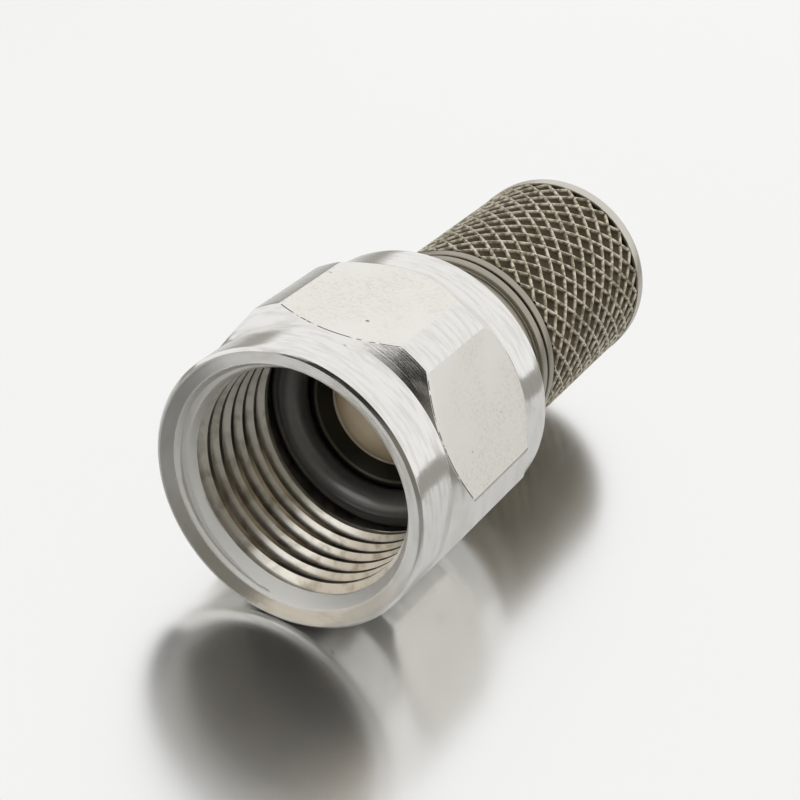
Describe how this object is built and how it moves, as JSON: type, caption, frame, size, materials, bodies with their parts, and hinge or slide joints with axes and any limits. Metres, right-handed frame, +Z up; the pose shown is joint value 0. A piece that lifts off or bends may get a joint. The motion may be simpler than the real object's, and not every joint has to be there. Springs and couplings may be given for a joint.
{
  "type": "twist-on coaxial connector",
  "caption": "Twist-on coaxial plug: a free-spinning hex coupling nut with an internal thread, a rubber seal ring, a flanged post and a knurled body.",
  "frame": {"origin": "centre of the footprint, at the height of the surface that the nut's lower flat lies on", "axes": "+Y along the connector's axis from the threaded mouth to the cable end, +Z up through the middle of the nut's upper flat, +X through a corner of the nut"},
  "size_m": [0.0122, 0.0232, 0.0111],
  "materials": {
    "bright_nickel": "bright nickel plate with fine lathe marks",
    "black_rubber": "smooth moulded rubber",
    "inner_nickel": "warm, thinly plated, turned",
    "knurled_nickel": "nickel plate, darker in the knurl's pits"
  },
  "bodies": {
    "plug": {"post": "inner_nickel", "knurled_body": "knurled_nickel"},
    "nut": {"coupling_nut": "bright_nickel", "seal_ring": "black_rubber"}
  },
  "joints": [
    {"name": "nut_spin", "type": "hinge", "parent": "plug", "child": "nut", "pos_m": [0, -0.00214, 0.00555], "axis": [0, 1, 0], "continuous": true}
  ]
}
